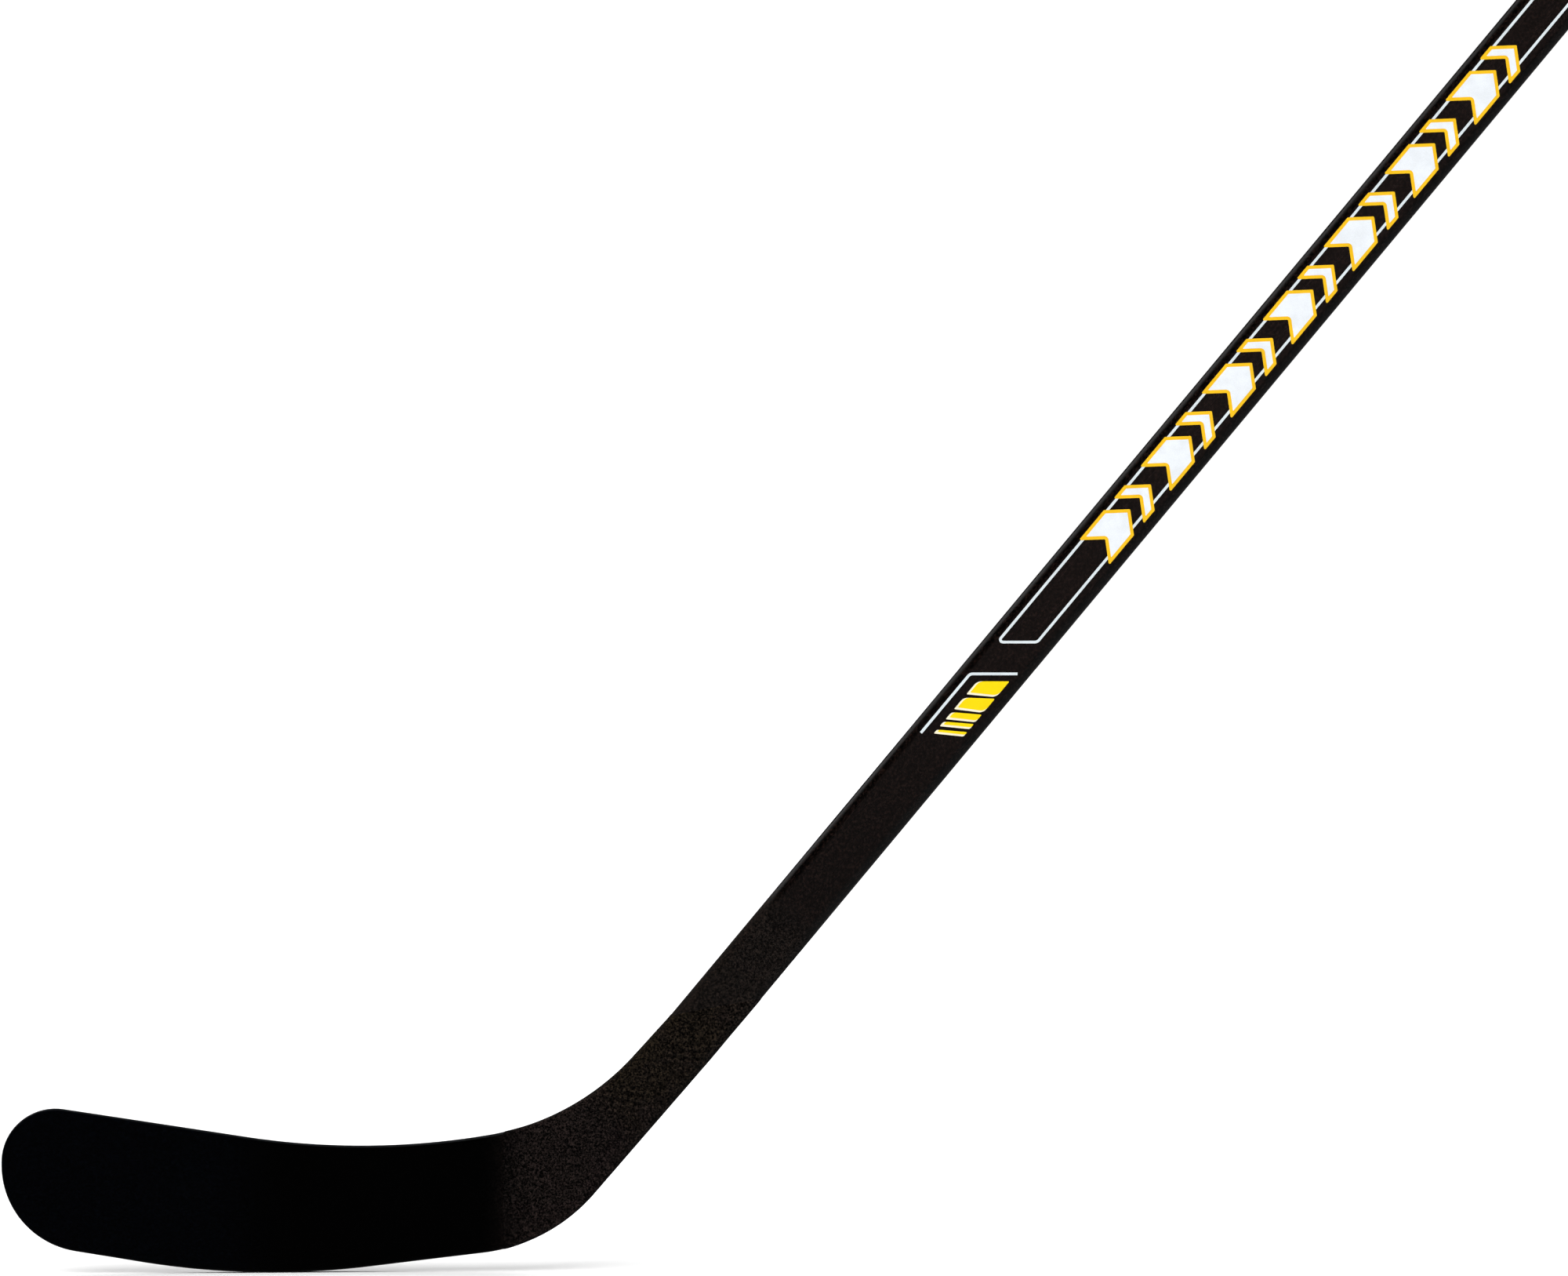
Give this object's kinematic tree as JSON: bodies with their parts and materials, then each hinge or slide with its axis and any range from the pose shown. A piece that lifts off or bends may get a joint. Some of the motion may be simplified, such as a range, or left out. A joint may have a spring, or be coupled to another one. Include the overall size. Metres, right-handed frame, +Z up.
{
  "type": "ice hockey stick",
  "caption": "Ice hockey stick: straight rectangular wood shaft in a painted sleeve, wrapped heel, and a curved blade whose plastic core is tongued into the shaft.",
  "frame": {"origin": "on the ice under the rocker of the blade's sole, within 8 mm of its lowest point along X, in the middle of the shaft's thickness", "axes": "+Z up, +X from the toe of the blade to the butt of the shaft, +Y from the forehand (hollow) face of the blade to its back"},
  "size_m": [1.2132, 0.0266, 1.1506],
  "materials": {
    "shaft_paint": "satin",
    "heel_paint": "satin",
    "blade_plastic": "satin",
    "blade_laminate": "satin",
    "birch": "matte",
    "aspen": "matte",
    "ash": "matte"
  },
  "bodies": {
    "root": {"shaft_wrap": "shaft_paint", "heel_wrap": "heel_paint", "heel_block": "ash", "blade_core": "blade_plastic", "blade_facing_front": "blade_laminate", "blade_facing_back": "blade_laminate", "front_birch_ply": "birch", "front_aspen_ply": "aspen", "front_core_ply": "aspen", "centre_core_ply": "aspen", "back_core_ply": "aspen", "back_aspen_ply": "aspen", "back_birch_ply": "birch"}
  },
  "joints": []
}
